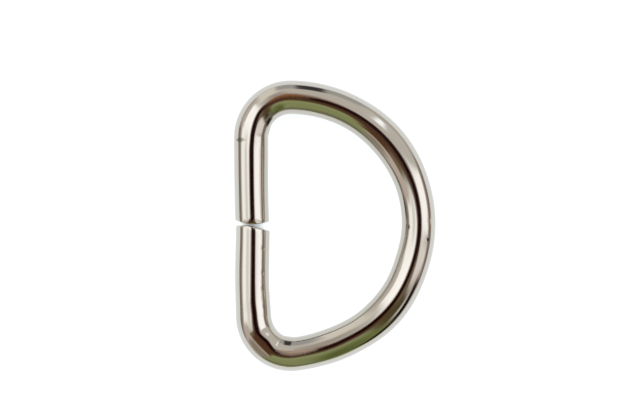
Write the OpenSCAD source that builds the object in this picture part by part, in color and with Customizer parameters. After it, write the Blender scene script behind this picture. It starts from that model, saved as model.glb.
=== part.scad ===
// D ring bent from one length of round wire, lying flat on its side.
// The straight bar stands at -X and runs along Y. The bow bulges out to +X.
// The wire's two ends meet in the middle of the bar, with a narrow gap between them.
// Each half of the ring is four arcs in a row, each tangent to the one before:
// the crown of the bow, its flatter flank, the tight bend and the almost straight leg.

/* [Ring] */
// Clear length of the opening along the bar, which is the width of the strap
inner_length = 25; // [20:0.5:32]
// Clear depth of the opening, from the bar to the top of the bow
inner_depth = 15; // [13:0.5:20]
// Diameter of the wire
wire_d = 3.8; // [3:0.1:4.5]
// Height of the bow's apex above the middle of the length
apex_rise = 0.25; // [0:0.05:1]

/* [Upper half] */
// Inside radius of the bend between the bow and the bar
upper_bend_r = 2.6; // [1.5:0.1:4]
// Turn in degrees by which the flank falls short of a bow in one arc
upper_ease = 1; // [0:0.5:8]
// Share of the bow's turn that the crown takes
upper_crown_share = 0.78; // [0.6:0.01:0.9]
// Radius of the leg's slight curve towards the opening
upper_leg_r = 300; // [200:50:2000]

/* [Lower half] */
// Inside radius of the bend between the bow and the bar
lower_bend_r = 2.4; // [1.5:0.1:4]
// Turn in degrees by which the flank falls short of a bow in one arc
lower_ease = 6; // [0:0.5:8]
// Share of the bow's turn that the crown takes
lower_crown_share = 0.89; // [0.6:0.01:0.9]
// Radius of the leg's slight curve towards the opening
lower_leg_r = 2000; // [200:50:2000]
// How much nearer the bow the leg begins than the upper leg does
lower_inset = 0.2; // [0:0.05:0.6]

/* [Ends] */
// Gap between the wire's two ends where they are nearest
end_gap = 0.15; // [0.05:0.05:1]
// Height of the gap above the middle of the length
gap_rise = 0.1; // [-1:0.05:1]
// Radius of the bulging face on the upper end, seen from above
bulge_r = 5; // [4:0.5:12]
// Distance of the bulge's tip from the wire's axis, towards the opening
bulge_shift = 0.35; // [0:0.05:0.5]
// Angle of the slanted face on the lower end
slant = 14; // [0:1:30]
// Distance from the wire's axis at which the slant begins, away from the opening
slant_start = 0.4; // [0:0.1:1.5]

/* [Hidden] */

$fn = 144;
wire_r = wire_d / 2;

// Depth and length of the wire's centreline, and the distance from its apex to each side
axis_depth = inner_depth + wire_d;
axis_length = inner_length + wire_d;
upper_rise = axis_length / 2 - apex_rise;
lower_rise = axis_length / 2 + apex_rise;

// Height of each end of the wire above the middle of the length
upper_end = gap_rise + end_gap / 2;
lower_end = gap_rise - end_gap / 2;

// Half the size of a block that cuts a wire's end, which is wider than the wire
cut_size = wire_d;

// Point at one unit from the origin in the direction of an angle
function dir(angle) = [cos(angle), sin(angle)];

// Value to the nearest hundredth
function hundredth(value) = round(value * 100) / 100;

// Centre of an arc in a row of tangent arcs. The first starts at the origin and heads for +Y.
// Arc i has radii[i] and goes from the direction turns[i] to turns[i + 1].
function centre(i, radii, turns) =
    i == 0 ? [-radii[0], 0]
           : centre(i - 1, radii, turns) + (radii[i - 1] - radii[i]) * dir(turns[i]);

// Moves by whole hundredths and then by what is left, so that arcs in a row meet closely
module place(at) {
    coarse = [for (value = at) hundredth(value)];
    translate(coarse) translate(at - coarse) children();
}

// Wire bent round a centre in the ring's plane, from one direction to another
module bent_wire(centre, radius, from, to) {
    place(centre)
        rotate_extrude(angle = to - from, start = from)
            place([radius, 0])
                circle(r = wire_r);
}

// Half of the ring, with the bow's apex at the origin and the bend towards +Y.
// depth and rise run from the apex to the leg and to the outermost point of the bend, and
// end_rise is the height of the wire's end above the apex, where a child cuts it to shape.
module half_ring(depth, rise, bend_r, ease, crown_share, leg_r, end_rise) {
    // A bow in one arc that touches the bend, which sets how far the flank turns
    bend_at = [bend_r - depth, rise - bend_r];
    bow_r = (bend_at * bend_at - bend_r ^ 2) / (2 * (depth - 2 * bend_r));
    bow_turn = hundredth(min(90, atan2(bend_at.y, bow_r + bend_at.x)) - ease);
    crown_turn = hundredth(crown_share * bow_turn);

    // What the bend leaves of the depth and the rise for the crown and the flank
    bow_depth = depth - bend_r * (1 + cos(bow_turn));
    bow_rise = rise - bend_r * (1 - sin(bow_turn));

    // Depth and rise that each of the two makes for one unit of its radius, and their radii
    crown = [1 - cos(crown_turn), sin(crown_turn)];
    flank = [cos(crown_turn) - cos(bow_turn), sin(bow_turn) - sin(crown_turn)];
    both = crown.x * flank.y - flank.x * crown.y;
    crown_r = (bow_depth * flank.y - bow_rise * flank.x) / both;
    flank_r = (bow_rise * crown.x - bow_depth * crown.y) / both;

    // The leg runs past the wire's end by a wire's width, and the child cuts that off
    end_turn = 180 + asin((bend_at.y - end_rise) / leg_r);
    spare_turn = hundredth(end_turn + asin(wire_d / leg_r));

    radii = [crown_r, flank_r, bend_r, leg_r];
    turns = [0, crown_turn, bow_turn, 180, spare_turn];
    last = len(radii) - 1;
    difference() {
        for (i = [0 : last])
            bent_wire(centre(i, radii, turns), radii[i], turns[i], turns[i + 1]);
        translate(centre(last, radii, turns) + leg_r * dir(end_turn))
            rotate(end_turn - 180) children();
    }
}

// Cuts the wire's end to a face that bulges out and stands square to the ring's plane
module bulged_end() {
    difference() {
        translate([-cut_size, -2 * cut_size, -cut_size])
            cube([2 * cut_size, 2 * cut_size + bulge_r / 2, 2 * cut_size]);
        translate([bulge_shift, bulge_r, 0])
            cylinder(r = bulge_r, h = 4 * cut_size, center = true);
    }
}

// Cuts the wire's end square on its outer side and slanted on the side of the opening
module slanted_end() {
    climb = (cut_size + slant_start) * tan(slant);
    linear_extrude(height = 2 * cut_size, center = true)
        polygon([
            [-cut_size, 0],
            [-slant_start, 0],
            [cut_size, climb],
            [cut_size, -2 * cut_size],
            [-cut_size, -2 * cut_size],
        ]);
}

module ring() {
    color("silver")
        translate([axis_depth / 2, apex_rise, wire_r]) {
            half_ring(
                depth = axis_depth,
                rise = upper_rise,
                bend_r = upper_bend_r + wire_r,
                ease = upper_ease,
                crown_share = upper_crown_share,
                leg_r = upper_leg_r,
                end_rise = upper_end - apex_rise
            ) bulged_end();
            mirror([0, 1, 0])
                half_ring(
                    depth = axis_depth - lower_inset,
                    rise = lower_rise,
                    bend_r = lower_bend_r + wire_r,
                    ease = lower_ease,
                    crown_share = lower_crown_share,
                    leg_r = lower_leg_r,
                    end_rise = apex_rise - lower_end
                ) slanted_end();
        }
}

ring();
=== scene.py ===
"""Nickel-plated D ring, bent from round wire and lying flat on a lit table."""

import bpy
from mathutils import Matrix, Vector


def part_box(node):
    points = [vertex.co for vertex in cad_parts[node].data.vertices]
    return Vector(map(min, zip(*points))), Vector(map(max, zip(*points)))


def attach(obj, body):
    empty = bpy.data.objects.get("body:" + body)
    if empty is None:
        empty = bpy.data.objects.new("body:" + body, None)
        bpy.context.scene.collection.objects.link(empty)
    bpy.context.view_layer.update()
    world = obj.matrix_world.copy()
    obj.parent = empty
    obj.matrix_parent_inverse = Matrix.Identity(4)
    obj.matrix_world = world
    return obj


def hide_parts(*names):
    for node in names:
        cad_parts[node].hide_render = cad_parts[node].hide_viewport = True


bl_info = {
    "name": "D Ring",
    "version": (1, 0, 0),
    "blender": (4, 5, 0),
    "location": "View3D > Sidebar > D Ring",
    "description": "Bends a nickel-plated D ring from round wire and lays it on a lit table",
    "category": "Add Mesh",
}

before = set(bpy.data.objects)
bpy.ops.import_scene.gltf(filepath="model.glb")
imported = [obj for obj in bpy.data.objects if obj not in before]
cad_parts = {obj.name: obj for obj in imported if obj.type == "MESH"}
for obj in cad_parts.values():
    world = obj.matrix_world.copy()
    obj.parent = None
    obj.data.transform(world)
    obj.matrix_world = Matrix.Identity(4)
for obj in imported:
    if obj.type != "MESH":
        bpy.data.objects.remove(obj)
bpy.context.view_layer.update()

from collections import namedtuple
from math import asin, atan2, cos, exp, pi, radians, sin, sqrt, tan

import bmesh
import bpy
from bpy.props import FloatProperty, FloatVectorProperty, PointerProperty
from mathutils import Matrix, Vector, noise

MM = 0.001

# The ring's own corners in the frame, from which its driving sizes come
RING_LOW, RING_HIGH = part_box("ring")
WIRE_D = RING_HIGH.z - RING_LOW.z
INNER_DEPTH = RING_HIGH.x - RING_LOW.x - 2 * WIRE_D
INNER_LENGTH = RING_HIGH.y - RING_LOW.y - 2 * WIRE_D

# Faces round the wire, the spans that it is drawn in, and the spacing of its rings of faces
WIRE_SIDES = 96
SPANS = 24
RING_SPACING = 0.1 * MM
# Faces across each rounded rim, and rings of faces across each end
RIM_SEGMENTS = 6
END_RINGS = 9
# Length of wire next to each end that has no ring of faces, so that the rim can be rounded
END_LEAD = 0.6 * MM
# Length over which the shape of an end dies out along the wire
END_REACH = 4 * MM
# Length of one ripple along the wire and its width across it
RIPPLE_LENGTH = 6 * MM
RIPPLE_WIDTH = 2.2 * MM
# Number of a pit's radii at which it no longer sinks the surface
PIT_REACH = 3


def linear(hex_colour):
    """Turns an sRGB hex colour into linear red, green and blue."""
    values = [int(hex_colour[i:i + 2], 16) / 255 for i in (1, 3, 5)]
    return tuple(v / 12.92 if v <= 0.04045 else ((v + 0.055) / 1.055) ** 2.4 for v in values)


def add_node(tree, kind, settings=None, inputs=None):
    """Adds a node, sets its properties, and gives its inputs values or links."""
    node = tree.nodes.new(kind)
    for name, value in (settings or {}).items():
        setattr(node, name, value)
    for name, value in (inputs or {}).items():
        if isinstance(value, bpy.types.NodeSocket):
            tree.links.new(value, node.inputs[name])
        else:
            node.inputs[name].default_value = value
    return node


class DRingSizes(bpy.types.PropertyGroup):
    """Sizes of the bent wire"""

    inner_length: FloatProperty(
        name="Inner Length", description="Clear length of the opening along the bar",
        default=INNER_LENGTH, unit="LENGTH")
    inner_depth: FloatProperty(
        name="Inner Depth", description="Clear depth of the opening, from the bar to the bow",
        default=INNER_DEPTH, unit="LENGTH")
    wire_d: FloatProperty(
        name="Wire Diameter", description="Diameter of the wire", default=WIRE_D, unit="LENGTH")
    apex_rise: FloatProperty(
        name="Apex Rise", description="Height of the bow's apex above the middle of the length",
        default=0.25 * MM, unit="LENGTH")
    upper_bend_r: FloatProperty(
        name="Upper Bend", description="Inside radius of the upper bend",
        default=2.6 * MM, unit="LENGTH")
    upper_ease: FloatProperty(
        name="Upper Ease", description="Turn by which the upper flank falls short of a plain bow",
        default=radians(1), subtype="ANGLE")
    upper_crown_share: FloatProperty(
        name="Upper Crown", description="Share of the upper half's turn that the crown takes",
        default=0.78, subtype="FACTOR")
    upper_leg_r: FloatProperty(
        name="Upper Leg", description="Radius of the upper leg's slight curve",
        default=300 * MM, unit="LENGTH")
    lower_bend_r: FloatProperty(
        name="Lower Bend", description="Inside radius of the lower bend",
        default=2.4 * MM, unit="LENGTH")
    lower_ease: FloatProperty(
        name="Lower Ease", description="Turn by which the lower flank falls short of a plain bow",
        default=radians(6), subtype="ANGLE")
    lower_crown_share: FloatProperty(
        name="Lower Crown", description="Share of the lower half's turn that the crown takes",
        default=0.89, subtype="FACTOR")
    lower_leg_r: FloatProperty(
        name="Lower Leg", description="Radius of the lower leg's slight curve",
        default=2000 * MM, unit="LENGTH")
    lower_inset: FloatProperty(
        name="Lower Inset", description="How much nearer the bow the lower leg begins",
        default=0.2 * MM, unit="LENGTH")
    end_gap: FloatProperty(
        name="End Gap", description="Gap between the wire's two ends",
        default=0.15 * MM, unit="LENGTH")
    gap_rise: FloatProperty(
        name="Gap Rise", description="Height of the gap above the middle of the length",
        default=0.1 * MM, unit="LENGTH")
    bulge_r: FloatProperty(
        name="Bulge Radius", description="Radius of the bulging face on the upper end",
        default=5 * MM, unit="LENGTH")
    bulge_shift: FloatProperty(
        name="Bulge Shift", description="Distance of the bulge's tip from the wire's axis",
        default=0.35 * MM, unit="LENGTH")
    upper_rim_r: FloatProperty(
        name="Upper Rim", description="Radius of the worn rim round the upper end",
        default=0.08 * MM, unit="LENGTH")
    rolled_drop: FloatProperty(
        name="Rolled Drop", description="Depth to which the cut rolled the upper end's top over",
        default=0.03 * MM, unit="LENGTH")
    rolled_reach: FloatProperty(
        name="Rolled Reach", description="Length of the rolled stretch of the upper end's top",
        default=0.45 * MM, unit="LENGTH")
    slant: FloatProperty(
        name="Slant", description="Angle of the slanted face on the lower end",
        default=radians(14), subtype="ANGLE")
    slant_start: FloatProperty(
        name="Slant Start", description="Distance from the wire's axis at which the slant begins",
        default=0.4 * MM, unit="LENGTH")
    lower_rim_r: FloatProperty(
        name="Lower Rim", description="Radius of the worn rim round the lower end",
        default=0.16 * MM, unit="LENGTH")


class DRingFinish(bpy.types.PropertyGroup):
    """Finish of the plated wire"""

    nickel: FloatVectorProperty(
        name="Nickel", description="Colour of the clean plating",
        default=linear("#CDCAC3"), size=3, subtype="COLOR")
    tarnish: FloatVectorProperty(
        name="Tarnish", description="Colour of the plating where it has dulled a little",
        default=linear("#C3BCB1"), size=3, subtype="COLOR")
    polish: FloatProperty(
        name="Polish", description="Roughness of the best polished plating",
        default=0.07, subtype="FACTOR")
    dulled: FloatProperty(
        name="Dulled", description="Roughness of the plating along its die lines",
        default=0.126, subtype="FACTOR")
    ripple: FloatProperty(
        name="Ripple", description="Depth of the long ripples left by drawing and bending",
        default=0.006 * MM, unit="LENGTH")


class DRingStudio(bpy.types.PropertyGroup):
    """Table, light and camera"""

    table_r: FloatProperty(
        name="Table Radius", description="Radius of the lit table top",
        default=56 * MM, unit="LENGTH")
    table_glow: FloatProperty(
        name="Table Glow", description="Light that the table top gives off by itself",
        default=1, subtype="FACTOR")
    frame_w: FloatProperty(
        name="Frame Width", description="Width of what the picture takes in at the wire's axis",
        default=71.7 * MM, unit="LENGTH")
    view_x: FloatProperty(
        name="View X", description="Place of the picture's centre along X",
        default=-1.65 * MM, unit="LENGTH")
    view_y: FloatProperty(
        name="View Y", description="Place of the picture's centre along Y",
        default=2.88 * MM, unit="LENGTH")
    lens: FloatProperty(
        name="Lens", description="Focal length of the lens in millimetres",
        default=200, unit="CAMERA")


# Course of the wire's axis in the plane of the ring

Arc = namedtuple("Arc", "centre radius start end")


def direction(angle):
    return Vector((cos(angle), sin(angle)))


def half_arcs(depth, rise, bend_r, ease, crown_share, leg_r, end_rise):
    """Four tangent arcs from the bow's apex at the origin to the end of the leg.

    They are the crown, the flank, the tight bend and the almost straight leg.
    """
    bend_at = Vector((bend_r - depth, rise - bend_r))
    bow_r = (bend_at.length_squared - bend_r ** 2) / (2 * (depth - 2 * bend_r))
    bow_turn = min(pi / 2, atan2(bend_at.y, bow_r + bend_at.x)) - ease
    crown_turn = crown_share * bow_turn

    # What the bend leaves of the depth and the rise, and what each arc makes of them
    left = Vector((depth - bend_r * (1 + cos(bow_turn)), rise - bend_r * (1 - sin(bow_turn))))
    crown = Vector((1 - cos(crown_turn), sin(crown_turn)))
    flank = Vector((cos(crown_turn) - cos(bow_turn), sin(bow_turn) - sin(crown_turn)))
    crown_r = left.cross(flank) / crown.cross(flank)
    flank_r = crown.cross(left) / crown.cross(flank)

    end_turn = pi + asin((bend_at.y - end_rise) / leg_r)
    turns = (0, crown_turn, bow_turn, pi, end_turn)
    arcs = []
    centre = Vector((0, 0))
    radius = 0
    for i, next_radius in enumerate((crown_r, flank_r, bend_r, leg_r)):
        centre = centre + (radius - next_radius) * direction(turns[i])
        radius = next_radius
        arcs.append(Arc(centre, radius, turns[i], turns[i + 1]))
    return arcs


class Course:
    """The wire's course from its upper end, over the bow, to its lower end."""

    def __init__(self, sizes):
        wire_r = sizes.wire_d / 2
        axis_depth = sizes.inner_depth + sizes.wire_d
        axis_length = sizes.inner_length + sizes.wire_d
        upper_end = sizes.gap_rise + sizes.end_gap / 2
        lower_end = sizes.gap_rise - sizes.end_gap / 2
        self.apex = Vector((axis_depth / 2, sizes.apex_rise, wire_r))
        upper = half_arcs(
            axis_depth, axis_length / 2 - sizes.apex_rise, sizes.upper_bend_r + wire_r,
            sizes.upper_ease, sizes.upper_crown_share, sizes.upper_leg_r,
            upper_end - sizes.apex_rise)
        lower = half_arcs(
            axis_depth - sizes.lower_inset, axis_length / 2 + sizes.apex_rise,
            sizes.lower_bend_r + wire_r, sizes.lower_ease, sizes.lower_crown_share,
            sizes.lower_leg_r, sizes.apex_rise - lower_end)

        # Each row holds the length at which an arc begins, the arc, and which half it is in
        self.rows = []
        self.length = 0
        for arc in reversed(upper):
            self.rows.append((self.length, arc, 1))
            self.length += arc.radius * (arc.end - arc.start)
        for arc in lower:
            self.rows.append((self.length, arc, -1))
            self.length += arc.radius * (arc.end - arc.start)

    def bend(self, along, outwards, up):
        """Where a point of the straight wire goes once the wire is bent."""
        begins, arc, half = next(row for row in reversed(self.rows) if row[0] <= max(along, 0))
        turn = (along - begins) / arc.radius
        angle = arc.end - turn if half > 0 else arc.start + turn
        flat = arc.centre + (arc.radius + outwards) * direction(angle)
        return self.apex + Vector((flat.x, half * flat.y, up))


# Shape of the wire

# It is drawn straight along +X, cut at both ends, pressed a little out of round, and bent.
# Outwards is +Y, away from the opening, and the crest of the wire is up, at +Z.

# Where the bending rolls pressed the wire out of round. Each row has its middle and its
# reach along the wire as shares of the wire's length, and how far in mm the outer side and
# the inner side stand out and the crest lies inwards.
Press = namedtuple("Press", "name middle reach outer inner crest")
PRESSES = (
    Press("upper leg", 0.115, 0.08, 0, 0.06, 0),
    Press("upper bend", 0.14, 0.02, 0, 0.07, 0),
    Press("upper bend's crest", 0.137, 0.034, 0, 0, 0.14),
    Press("upper shoulder", 0.375, 0.083, 0.11, 0.08, 0),
    Press("lower crown", 0.553, 0.055, 0, 0.11, 0),
    Press("lower shoulder", 0.63, 0.076, 0.21, 0.02, 0),
    Press("lower shoulder's crest", 0.615, 0.06, 0, 0, -0.07),
    Press("lower flank", 0.715, 0.055, 0, 0.09, 0),
    Press("lower flank's upper crest", 0.7, 0.04, 0, 0, 0.06),
    Press("lower flank's crest", 0.79, 0.025, 0, 0, -0.02),
    Press("lower flank's inner side", 0.79, 0.02, 0, 0.08, 0),
    Press("lower bend", 0.852, 0.075, -0.03, 0.22, 0),
    Press("lower bend's crest", 0.829, 0.023, 0, 0, 0.36),
    Press("lower leg's crest", 0.864, 0.034, 0, 0, 0.18),
    Press("lower leg", 0.93, 0.07, 0.08, -0.06, 0),
)

# Pits in the plating. Each row has its place along the wire as a share of the wire's length,
# its turn from the crest outwards in degrees, and its radius and depth in mm.
Pit = namedtuple("Pit", "place turn radius depth")
PITS = (
    Pit(0.519, 36, 0.17, 0.03),
    Pit(0.503, -37, 0.16, 0.02),
    Pit(0.789, 43, 0.14, 0.015),
    Pit(0.138, 36, 0.16, 0.012),
    Pit(0.885, -41, 0.2, 0.012),
    Pit(0.912, -40, 0.22, 0.014),
    Pit(0.934, -41, 0.2, 0.012),
    Pit(0.969, -40, 0.24, 0.014),
    Pit(0.64, -42, 0.15, 0.012),
    Pit(0.567, -38, 0.14, 0.01),
)

# Marks that the bending tools, wear and damp left on the plating, and a painted dark
# reflection inside the upper bend, each on top of the one before. Each row has its place
# along the wire as a share of the wire's length, its turn from the crest outwards in degrees,
# its length along the wire and its width in mm, its colour and its roughness.
Mark = namedtuple("Mark", "name place turn length width colour roughness")
MARKS = (
    Mark("dull crest of the upper bend", 0.2075, 0, 5.8, 0.72, "#A97A56", 0.27),
    Mark("dull crest of the lower flank", 0.777, -4, 5.4, 0.6, "#CBB7A4", 0.32),
    Mark("dull patch inside the upper bend", 0.17, -38, 2.4, 0.5, "#A39A88", 0.45),
    Mark("smear inside the upper bend", 0.164, -28, 1.3, 0.36, "#5C5642", 0.3),
    # Painted reflection: a dark patch in the metal's colour where it mirrors something dark, not a
    # stain on the plating
    Mark("painted dark reflection inside the upper bend", 0.158, -50, 2, 0.6, "#2E2822", 0.3),
    Mark("streak outside the upper leg", 0.12, 40, 0.5, 1.3, "#8F8F7C", 0.2),
    Mark("speck outside the apex", 0.519, 36, 0.5, 0.36, "#4A3F3C", 0.35),
    Mark("speck inside the apex", 0.503, -37, 0.7, 0.26, "#6A5F5A", 0.35),
)


def close_end(bm, edges, side, rim_r, wire_r):
    """Runs the wire on to its end, fills it with rings of faces, and rounds the rim."""
    lead = bmesh.ops.extrude_edge_only(bm, edges=edges)["geom"]
    lead_verts = [item for item in lead if isinstance(item, bmesh.types.BMVert)]
    rim = [item for item in lead if isinstance(item, bmesh.types.BMEdge)
           and all(vert in lead_verts for vert in item.verts)]
    bmesh.ops.translate(bm, verts=lead_verts, vec=(side * END_LEAD, 0, 0))
    bmesh.ops.contextual_create(bm, geom=rim)
    bmesh.ops.bevel(
        bm, geom=rim, offset=rim_r, offset_type="OFFSET", affect="EDGES",
        segments=RIM_SEGMENTS, profile=0.5, material=-1, clamp_overlap=False)
    face = max(bm.faces, key=lambda item: len(item.verts))
    for _ in range(END_RINGS):
        bmesh.ops.inset_region(
            bm, faces=[face], thickness=(wire_r - rim_r) / (END_RINGS + 1), use_even_offset=True)
    bmesh.ops.poke(bm, faces=[face])


def draw_wire(bm, length, sizes):
    """A straight round wire along +X from the origin, closed at both ends."""
    wire_r = sizes.wire_d / 2
    upright = Matrix.Rotation(pi / 2, 4, "Y")
    bmesh.ops.create_circle(
        bm, segments=WIRE_SIDES, radius=wire_r,
        matrix=Matrix.Translation((END_LEAD, 0, 0)) @ upright)
    first = bm.edges[:]
    span = (length - 2 * END_LEAD) / SPANS
    last = bmesh.ops.spin(
        bm, geom=first, cent=(0, 0, 0), axis=(1, 0, 0), dvec=(span, 0, 0),
        angle=0, steps=SPANS, use_merge=False, use_duplicate=False)["geom_last"]
    last = [item for item in last if isinstance(item, bmesh.types.BMEdge)]
    lengthwise = [edge for edge in bm.edges if edge.calc_length() > span / 2]
    bmesh.ops.subdivide_edges(bm, edges=lengthwise, cuts=round(span / RING_SPACING) - 1)
    close_end(bm, first, -1, sizes.upper_rim_r, wire_r)
    close_end(bm, last, 1, sizes.lower_rim_r, wire_r)


def shape_ends(bm, length, sizes):
    """Shapes the wire's ends as their cutting left them.

    The first is rolled over at its top and bulges out, and the last is slanted. Sliding the
    points along the wire leaves its sides as they are.
    """
    for vert in bm.verts:
        along, outwards, up = vert.co
        if along < END_REACH:
            if along < sizes.rolled_reach and up > 0:
                lean = (1 - along / sizes.rolled_reach) * up / (sizes.wire_d / 2)
                vert.co.z -= sizes.rolled_drop * lean ** 2
            aside = outwards + sizes.bulge_shift
            dip = sizes.bulge_r - sqrt(sizes.bulge_r ** 2 - aside ** 2)
            vert.co.x += dip * (1 - along / END_REACH)
        elif along > length - END_REACH:
            dip = max(0, sizes.slant_start - outwards) * tan(sizes.slant)
            vert.co.x -= dip * (1 - (length - along) / END_REACH)


def press_wire(bm, length, wire_r):
    """Presses the wire out of round where the rolls bent it."""
    for press in PRESSES:
        middle, reach = press.middle * length, press.reach * length
        for vert in bm.verts:
            away = abs(vert.co.x - middle)
            if away < reach:
                share = cos(pi / 2 * away / reach) ** 2
                lean = max(-1, min(1, vert.co.y / wire_r))
                stretch = press.outer if lean > 0 else press.inner
                push = stretch * lean - press.crest * (1 - lean ** 2)
                vert.co.y += push * share * MM


def pit_wire(bm, length, wire_r):
    """Sinks the pits into the wire's surface."""
    for pit in PITS:
        turn = radians(pit.turn)
        middle = Vector((pit.place * length, wire_r * sin(turn), wire_r * cos(turn)))
        radius = pit.radius * MM
        for vert in bm.verts:
            if abs(vert.co.x - middle.x) < PIT_REACH * radius:
                away = (vert.co - middle).length
                depth = pit.depth * MM * exp(-(away / radius) ** 2)
                vert.co.y *= 1 - depth / wire_r
                vert.co.z *= 1 - depth / wire_r


def ripple_wire(bm, depth, wire_r):
    """Gives the wire the long, shallow ripples that drawing and bending leave."""
    for vert in bm.verts:
        along, outwards, up = vert.co
        place = Vector((along / RIPPLE_LENGTH, outwards / RIPPLE_WIDTH, up / RIPPLE_WIDTH))
        sink = depth * (0.5 + 0.5 * noise.noise(place)) / wire_r
        vert.co.y -= outwards * sink
        vert.co.z -= up * sink


def make_wire(course, sizes, finish):
    """The ring's mesh, with each point's place in the straight wire kept as an attribute."""
    wire_r = sizes.wire_d / 2
    bm = bmesh.new()
    draw_wire(bm, course.length, sizes)
    drawn = bm.verts.layers.float_vector.new("drawn")
    for vert in bm.verts:
        vert[drawn] = vert.co
    shape_ends(bm, course.length, sizes)
    pit_wire(bm, course.length, wire_r)
    ripple_wire(bm, finish.ripple, wire_r)
    press_wire(bm, course.length, wire_r)
    for vert in bm.verts:
        vert.co = course.bend(*vert.co)
    bmesh.ops.recalc_face_normals(bm, faces=bm.faces)
    mesh = bpy.data.meshes.new("ring_wire")
    bm.to_mesh(mesh)
    bm.free()
    mesh.shade_smooth()
    return mesh


# Finish of the wire

# Die lines along the wire are about 0.03 mm apart on the real one and would not show, so they
# are drawn ten times as far apart. Each runs on for a few wire widths.
DIE_LINE_SPACING = 0.3 * MM
DIE_LINE_LENGTH = 14 * MM
# Values of the die lines' noise at which the plating is at its best polish and at its dullest
POLISHED_AT = 0.3
DULLED_AT = 0.7
# Grain of the plating is under 0.05 mm on the real wire, and is drawn as coarse as it shows
GRAIN_SIZE = 0.35 * MM
# Height of the die lines and the grain, and the share of it that is grain
RELIEF_HEIGHT = 0.001 * MM
GRAIN_SHARE = 0.3
# Where a mark ends, in shares of its half size, how soft its edge is, and how ragged
MARK_EDGE = 1.1
MARK_BLUR = 0.8
MARK_RAGGEDNESS = 0.4


def fade(tree, value, edge, blur):
    """One below an edge and nought above it, with a soft step between."""
    return add_node(
        tree, "ShaderNodeMapRange", {"interpolation_type": "SMOOTHSTEP"},
        {"Value": value, "From Min": edge - blur / 2, "From Max": edge + blur / 2,
         "To Min": 1, "To Max": 0}).outputs[0]


def cover_mark(tree, place, grain, mark, length, wire_r):
    """How far a mark covers each place on the wire, with an edge that the grain makes ragged."""
    turn = radians(mark.turn)
    near = add_node(
        tree, "ShaderNodeMapping", {"vector_type": "TEXTURE"},
        {"Vector": place,
         "Location": (mark.place * length, wire_r * sin(turn), wire_r * cos(turn)),
         "Scale": (mark.length / 2 * MM, mark.width / 2 * MM, mark.width / 2 * MM)})
    away = add_node(tree, "ShaderNodeVectorMath", {"operation": "LENGTH"}, {0: near.outputs[0]})
    ragged = add_node(
        tree, "ShaderNodeMath", {"operation": "MULTIPLY_ADD"},
        {0: grain, 1: MARK_RAGGEDNESS, 2: away.outputs["Value"]})
    return fade(tree, ragged.outputs[0], MARK_EDGE, MARK_BLUR)


def nickel_plated_wire(finish, length, wire_r):
    """Nickel plating on drawn steel wire, tumbled bright.

    The plating mirrors its surroundings sharply and is a little warm. Faint die lines run
    along the wire, and the plating is dull where the bending tools and wear marked it. A dark
    patch inside the upper bend is a painted reflection, not a stain.
    """
    material = bpy.data.materials.new("nickel_plated_wire")
    material.use_nodes = True
    tree = material.node_tree
    tree.nodes.clear()
    place = add_node(tree, "ShaderNodeAttribute", {"attribute_name": "drawn"})

    along_wire = add_node(
        tree, "ShaderNodeMapping", {},
        {"Vector": place.outputs["Vector"],
         "Scale": (1 / DIE_LINE_LENGTH, 1 / DIE_LINE_SPACING, 1 / DIE_LINE_SPACING)})
    die_lines = add_node(
        tree, "ShaderNodeTexNoise", {"noise_dimensions": "3D"},
        {"Vector": along_wire.outputs[0], "Scale": 1, "Detail": 2, "Roughness": 0.5})
    grain = add_node(
        tree, "ShaderNodeTexNoise", {"noise_dimensions": "3D"},
        {"Vector": place.outputs["Vector"], "Scale": 1 / GRAIN_SIZE, "Detail": 2})
    colour = add_node(
        tree, "ShaderNodeMix", {"data_type": "RGBA"},
        {0: die_lines.outputs[0], 6: (*finish.nickel, 1), 7: (*finish.tarnish, 1)})
    roughness = add_node(
        tree, "ShaderNodeMapRange", {},
        {"Value": die_lines.outputs[0], "From Min": POLISHED_AT, "From Max": DULLED_AT,
         "To Min": finish.polish, "To Max": finish.dulled})
    colour, roughness = colour.outputs[2], roughness.outputs[0]
    for mark in MARKS:
        cover = cover_mark(
            tree, place.outputs["Vector"], grain.outputs[0], mark, length, wire_r)
        colour = add_node(
            tree, "ShaderNodeMix", {"data_type": "RGBA", "label": mark.name},
            {0: cover, 6: colour, 7: (*linear(mark.colour), 1)}).outputs[2]
        roughness = add_node(
            tree, "ShaderNodeMix", {"data_type": "FLOAT"},
            {0: cover, 2: roughness, 3: mark.roughness}).outputs[0]
    relief = add_node(
        tree, "ShaderNodeMix", {"data_type": "FLOAT"},
        {0: GRAIN_SHARE, 2: die_lines.outputs[0], 3: grain.outputs[0]})
    bump = add_node(
        tree, "ShaderNodeBump", {},
        {"Strength": 1, "Distance": RELIEF_HEIGHT, "Height": relief.outputs[0]})
    shader = add_node(
        tree, "ShaderNodeBsdfPrincipled", {},
        {"Base Color": colour, "Metallic": 1, "Roughness": roughness,
         "Normal": bump.outputs[0]})
    add_node(tree, "ShaderNodeOutputMaterial", {}, {"Surface": shader.outputs[0]})
    return material


# The table, the cards round it that the metal mirrors, and the camera

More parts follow.
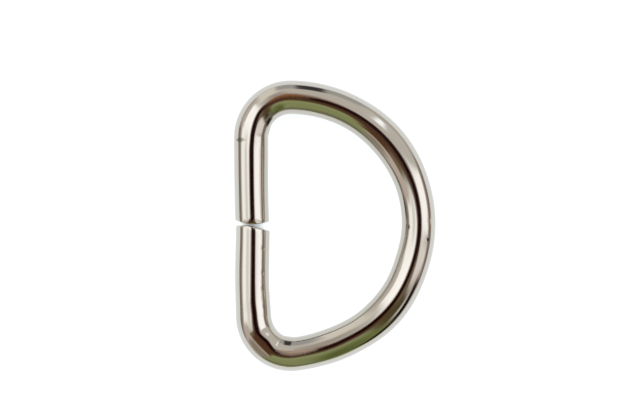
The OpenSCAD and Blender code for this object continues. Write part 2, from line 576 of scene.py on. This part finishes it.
# The cards are laid out on a flat chart of the sky, with the zenith in its middle and +Y up.
# A place on the chart lies in its own direction, as many degrees out as it is from the
# zenith. A card's colour is the one that it has in the metal. A strip runs from one place to
# another and has a width at each of them. A spot is an ellipse, turned by some degrees.
Strip = namedtuple("Strip", "name colour start end start_w end_w blur")
Spot = namedtuple("Spot", "name colour middle length width turn blur")
CARDS = (
    Strip("skirting on the left", "#7A6F64", (-86, 22), (-84, -46), 24, 24, 10),
    Strip("skirting on the right", "#786A5E", (84, 40), (84, -38), 26, 26, 10),
    Strip("light rail on the right", "#CFC4B4", (84, 1), (98, 1), 3, 3, 2),
    Strip("far light wall", "#CFC8BB", (-19, 30), (-42, 80), 16, 38, 12),
    Strip("far shade", "#9A9186", (-6, 18), (-15, 40), 10, 16, 10),
    Strip("far grey wall", "#979592", (-9, 60), (-13, 100), 20, 34, 10),
    Strip("far grey wall on the right", "#98968F", (22, 58), (36, 92), 18, 36, 10),
    Strip("far dark panel", "#353133", (8, 57), (12, 88), 12, 18, 4),
    Strip("white card on the left", "#F4F1E9", (-12, 1), (-66, 3), 12, 32, 6),
    Strip("bright ridge on the left", "#FFFCF6", (-12, 6), (-52, 28), 8, 28, 7),
    Strip("seam of the left card", "#D4CFC7", (-24, -2), (-42, -3), 10, 16, 7),
    Strip("dull wall on the left", "#B2A598", (-64, -14), (-52, -46), 34, 34, 12),
    Strip("dark fold on the left", "#857969", (-52, -40), (-44, -62), 30, 30, 12),
    Strip("white card on the right", "#FCF9F5", (22, 4), (65, 10), 14, 32, 6),
    Strip("edge of the right card", "#CFC3B6", (58, 1), (68, 1), 3, 4, 3),
    Strip("low card on the right", "#D9D1C9", (21, -5), (66, -21), 8, 18, 7),
    Strip("floor of the right card", "#A79B8F", (42, -22), (70, -34), 6, 18, 10),
    Strip("olive fold", "#655F42", (14, -18), (44, -56), 8, 18, 10),
    Strip("green card", "#7E8457", (-1, -20), (-3, -98), 30, 146, 7),
    Strip("green card in shade", "#666D3E", (12, -34), (42, -74), 10, 46, 14),
    Strip("deep green fold", "#565C32", (17, -46), (30, -80), 10, 24, 12),
    Strip("bright band of the green card", "#8E8C64", (8, -32), (-29, -37), 5, 7, 6),
    Strip("low edge of the green card", "#696A4C", (20, -87), (-60, -70), 16, 16, 12),
    Strip("olive edge on the left", "#6C5F44", (-8, -5), (-44, -24), 5, 9, 6),
    Strip("brown strip on the left", "#53341D", (-4, -6), (-35, -34), 7, 19, 9),
    Strip("brown strip on the right", "#4A3F26", (6, -5), (40, -34), 10, 19, 7),
    Strip("dark gap", "#120D08", (69, -28), (57, -54), 23, 23, 6),
    Strip("dark gap's tail", "#1C1C0E", (60, -53), (42, -78), 19, 15, 7),
    Spot("brown front", "#4E3A22", (2, -9), 34, 24, 0, 9),
    Spot("brown front on the left", "#4A3222", (-10, -14), 24, 24, 0, 9),
    Spot("brown back", "#7C5C48", (-1, 13), 10, 20, 0, 7),
    Strip("dark strip overhead", "#1A0000", (-7, 0), (18, 0), 21, 12, 7),
    Strip("light fold on the right", "#6A5A46", (9, -5), (23, -12), 4, 8, 5),
    Strip("lamp", "#FFFFFF", (22, 26), (41, 49), 4, 5, 3),
)
# Colours of the wall behind the cards and of its skirting, as the metal shows them, the angle
# from the zenith at which the two meet, and the blur between them
SURROUND = "#B5AFA4"
SKIRTING = "#A59E93"
SKIRTING_ZENITH = 78
SKIRTING_BLUR = 8
# What the camera sees past the table's edge
BACKDROP = "#FFFFFF"

# Sides of the round table top, its own colour and roughness, and the colour that it glows in
TABLE_SIDES = 96
ACRYLIC = "#8C8C8C"
ACRYLIC_ROUGHNESS = 0.9
ACRYLIC_GLOW = "#F3F8FD"
# How near metal has to stand to dim the table top's glow, a painted shade as in the ring's gap,
# and how many rays look for it
SHADE_REACH = 0.5 * MM
SHADE_RAYS = 4
# The metal mirrors the table top a little darker inside the ring than the camera sees it.
# Half the depth and length of that part, how soft its edge is, and what dims it.
SHADE_HALF_X = 8 * MM
SHADE_HALF_Y = 13 * MM
SHADE_BLUR = 0.6
INNER_SHADE = "#F4F4F0"

# Width of the camera's sensor in mm
SENSOR_W = 36


def glow(hex_colour, nickel):
    """The light that a card has to give for the metal to show this colour."""
    return (*(value / tint for value, tint in zip(linear(hex_colour), nickel)), 1)


def chart_sky(tree):
    """Each direction's place on the flat chart of the sky, and its angle from the zenith."""
    toward = add_node(tree, "ShaderNodeTexCoord").outputs["Generated"]
    split = add_node(tree, "ShaderNodeSeparateXYZ", {}, {0: toward})
    zenith = add_node(
        tree, "ShaderNodeMath", {"operation": "ARCCOSINE"}, {0: split.outputs["Z"]})
    angle = add_node(tree, "ShaderNodeMath", {"operation": "DEGREES"}, {0: zenith.outputs[0]})
    flat = add_node(
        tree, "ShaderNodeCombineXYZ", {}, {"X": split.outputs["X"], "Y": split.outputs["Y"]})
    level = add_node(
        tree, "ShaderNodeVectorMath", {"operation": "NORMALIZE"}, {0: flat.outputs[0]})
    chart = add_node(
        tree, "ShaderNodeVectorMath", {"operation": "SCALE"},
        {0: level.outputs[0], "Scale": angle.outputs[0]})
    return chart.outputs[0], angle.outputs[0]


def cover_strip(tree, chart, strip):
    """How far a strip covers each place on the chart."""
    start, end = Vector(strip.start), Vector(strip.end)
    run = end - start
    reach = run.length / 2
    turned = add_node(
        tree, "ShaderNodeMapping", {"vector_type": "TEXTURE"},
        {"Vector": chart, "Location": (*((start + end) / 2), 0),
         "Rotation": (0, 0, atan2(run.y, run.x))})
    split = add_node(tree, "ShaderNodeSeparateXYZ", {}, {0: turned.outputs[0]})
    half_w = add_node(
        tree, "ShaderNodeMapRange", {"clamp": False},
        {"Value": split.outputs["X"], "From Min": -reach, "From Max": reach,
         "To Min": strip.start_w / 2, "To Max": strip.end_w / 2})
    ahead = add_node(tree, "ShaderNodeMath", {"operation": "ABSOLUTE"}, {0: split.outputs["X"]})
    aside = add_node(tree, "ShaderNodeMath", {"operation": "ABSOLUTE"}, {0: split.outputs["Y"]})
    beyond = add_node(
        tree, "ShaderNodeMath", {"operation": "SUBTRACT"},
        {0: aside.outputs[0], 1: half_w.outputs[0]})
    cover = add_node(
        tree, "ShaderNodeMath", {"operation": "MULTIPLY"},
        {0: fade(tree, ahead.outputs[0], reach, strip.blur),
         1: fade(tree, beyond.outputs[0], 0, strip.blur)})
    return cover.outputs[0]


def cover_spot(tree, chart, spot):
    """How far a spot covers each place on the chart."""
    turned = add_node(
        tree, "ShaderNodeMapping", {"vector_type": "TEXTURE"},
        {"Vector": chart, "Location": (*spot.middle, 0), "Rotation": (0, 0, radians(spot.turn)),
         "Scale": (spot.length / 2, spot.width / 2, 1)})
    away = add_node(
        tree, "ShaderNodeVectorMath", {"operation": "LENGTH"}, {0: turned.outputs[0]})
    return fade(tree, away.outputs["Value"], 1, spot.blur / (min(spot.length, spot.width) / 2))


def surround_ring(nickel):
    """The world, with cards for the metal to mirror and plain white behind the ring."""
    world = bpy.data.worlds.new("studio")
    bpy.context.scene.world = world
    world.use_nodes = True
    tree = world.node_tree
    tree.nodes.clear()
    chart, zenith = chart_sky(tree)
    high = fade(tree, zenith, SKIRTING_ZENITH, SKIRTING_BLUR)
    colour = add_node(
        tree, "ShaderNodeMix", {"data_type": "RGBA"},
        {0: high, 6: glow(SKIRTING, nickel), 7: glow(SURROUND, nickel)})
    for card in CARDS:
        cover = cover_strip if isinstance(card, Strip) else cover_spot
        colour = add_node(
            tree, "ShaderNodeMix", {"data_type": "RGBA", "label": card.name},
            {0: cover(tree, chart, card), 6: colour.outputs[2], 7: glow(card.colour, nickel)})
    mirrored = add_node(
        tree, "ShaderNodeBackground", {}, {"Color": colour.outputs[2], "Strength": 1})
    plain = add_node(
        tree, "ShaderNodeBackground", {}, {"Color": (*linear(BACKDROP), 1), "Strength": 1})
    rays = add_node(tree, "ShaderNodeLightPath")
    shader = add_node(
        tree, "ShaderNodeMixShader", {},
        {0: rays.outputs["Is Camera Ray"], 1: mirrored.outputs[0], 2: plain.outputs[0]})
    add_node(tree, "ShaderNodeOutputWorld", {}, {"Surface": shader.outputs[0]})


def make_table(studio):
    """A round table top of matt white acrylic, lit from below.

    It looks plain white all over. It glows so that no shadow falls on it, but a painted shade
    dims its glow where metal stands close over it, as in the ring's gap.
    """
    bm = bmesh.new()
    bmesh.ops.create_circle(bm, cap_ends=True, segments=TABLE_SIDES, radius=studio.table_r)
    mesh = bpy.data.meshes.new("table_top")
    bm.to_mesh(mesh)
    bm.free()
    material = bpy.data.materials.new("matt_white_acrylic")
    material.use_nodes = True
    tree = material.node_tree
    tree.nodes.clear()
    # Painted shade: the glow dims where metal stands within SHADE_REACH of the table, as in the
    # ring's gap
    glow_with_painted_gap_shade = add_node(
        tree, "ShaderNodeAmbientOcclusion", {"samples": SHADE_RAYS},
        {"Color": (*linear(ACRYLIC_GLOW), 1), "Distance": SHADE_REACH})
    place = add_node(tree, "ShaderNodeTexCoord")
    near = add_node(
        tree, "ShaderNodeMapping", {"vector_type": "TEXTURE"},
        {"Vector": place.outputs["Object"], "Scale": (SHADE_HALF_X, SHADE_HALF_Y, 1)})
    away = add_node(tree, "ShaderNodeVectorMath", {"operation": "LENGTH"}, {0: near.outputs[0]})
    rays = add_node(tree, "ShaderNodeLightPath")
    mirrored = add_node(
        tree, "ShaderNodeMath", {"operation": "SUBTRACT"}, {0: 1, 1: rays.outputs["Is Camera Ray"]})
    dimmed = add_node(
        tree, "ShaderNodeMath", {"operation": "MULTIPLY"},
        {0: fade(tree, away.outputs["Value"], 1, SHADE_BLUR), 1: mirrored.outputs[0]})
    glow_colour = add_node(
        tree, "ShaderNodeMix", {"data_type": "RGBA", "blend_type": "MULTIPLY"},
        {0: dimmed.outputs[0], 6: glow_with_painted_gap_shade.outputs["Color"], 7: (*linear(INNER_SHADE), 1)})
    shader = add_node(
        tree, "ShaderNodeBsdfPrincipled", {},
        {"Base Color": (*linear(ACRYLIC), 1), "Roughness": ACRYLIC_ROUGHNESS,
         "Specular IOR Level": 0, "Emission Color": glow_colour.outputs[2],
         "Emission Strength": studio.table_glow})
    add_node(tree, "ShaderNodeOutputMaterial", {}, {"Surface": shader.outputs[0]})
    mesh.materials.append(material)
    table = bpy.data.objects.new("table_top", mesh)
    bpy.context.scene.collection.objects.link(table)


def aim_camera(sizes, studio):
    """A camera straight above the ring, as far up as its lens needs to take in the frame."""
    data = bpy.data.cameras.new("camera")
    data.lens = studio.lens
    data.sensor_width = SENSOR_W
    data.sensor_fit = "HORIZONTAL"
    distance = studio.frame_w * data.lens / data.sensor_width
    camera = bpy.data.objects.new("camera", data)
    camera.location = (studio.view_x, studio.view_y, sizes.wire_d / 2 + distance)
    data.clip_end = 4 * distance
    bpy.context.scene.collection.objects.link(camera)
    bpy.context.scene.camera = camera


class DRINGPART_OT_ring(bpy.types.Operator):
    """Bend the ring from nickel-plated wire"""

    bl_idname = "object.d_ring_bend"
    bl_label = "Bend the Ring"

    def execute(self, context):
        scene = context.scene
        sizes, finish = scene.d_ring_sizes, scene.d_ring_finish
        course = Course(sizes)
        mesh = make_wire(course, sizes, finish)
        mesh.materials.append(nickel_plated_wire(finish, course.length, sizes.wire_d / 2))
        ring = bpy.data.objects.new("bent_ring", mesh)
        scene.collection.objects.link(ring)
        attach(ring, "root")
        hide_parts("ring")
        return {"FINISHED"}


class DRINGPART_OT_stage(bpy.types.Operator):
    """Set up the lit table, the cards and the camera"""

    bl_idname = "object.d_ring_stage"
    bl_label = "Set Up the Stage"

    def execute(self, context):
        scene = context.scene
        make_table(scene.d_ring_studio)
        surround_ring(scene.d_ring_finish.nickel)
        aim_camera(scene.d_ring_sizes, scene.d_ring_studio)
        scene.view_settings.view_transform = "Standard"
        scene.view_settings.look = "None"
        return {"FINISHED"}


class DRINGPART_PT_panel(bpy.types.Panel):
    """Panel of the ring's sizes, finish and stage"""

    bl_idname = "DRINGPART_PT_panel"
    bl_label = "D Ring"
    bl_space_type = "VIEW_3D"
    bl_region_type = "UI"
    bl_category = "D Ring"

    def draw(self, context):
        scene = context.scene
        layout = self.layout
        layout.operator(DRINGPART_OT_ring.bl_idname)
        layout.operator(DRINGPART_OT_stage.bl_idname)
        for group in (scene.d_ring_sizes, scene.d_ring_finish, scene.d_ring_studio):
            box = layout.box()
            for name in group.__annotations__:
                box.prop(group, name)


CLASSES = (
    DRingSizes,
    DRingFinish,
    DRingStudio,
    DRINGPART_OT_ring,
    DRINGPART_OT_stage,
    DRINGPART_PT_panel,
)


def register():
    for item in CLASSES:
        bpy.utils.register_class(item)
    bpy.types.Scene.d_ring_sizes = PointerProperty(type=DRingSizes)
    bpy.types.Scene.d_ring_finish = PointerProperty(type=DRingFinish)
    bpy.types.Scene.d_ring_studio = PointerProperty(type=DRingStudio)


def unregister():
    del bpy.types.Scene.d_ring_studio
    del bpy.types.Scene.d_ring_finish
    del bpy.types.Scene.d_ring_sizes
    for item in reversed(CLASSES):
        bpy.utils.unregister_class(item)


def main():
    register()
    bpy.ops.object.d_ring_bend()
    bpy.ops.object.d_ring_stage()


if __name__ == "__main__":
    main()
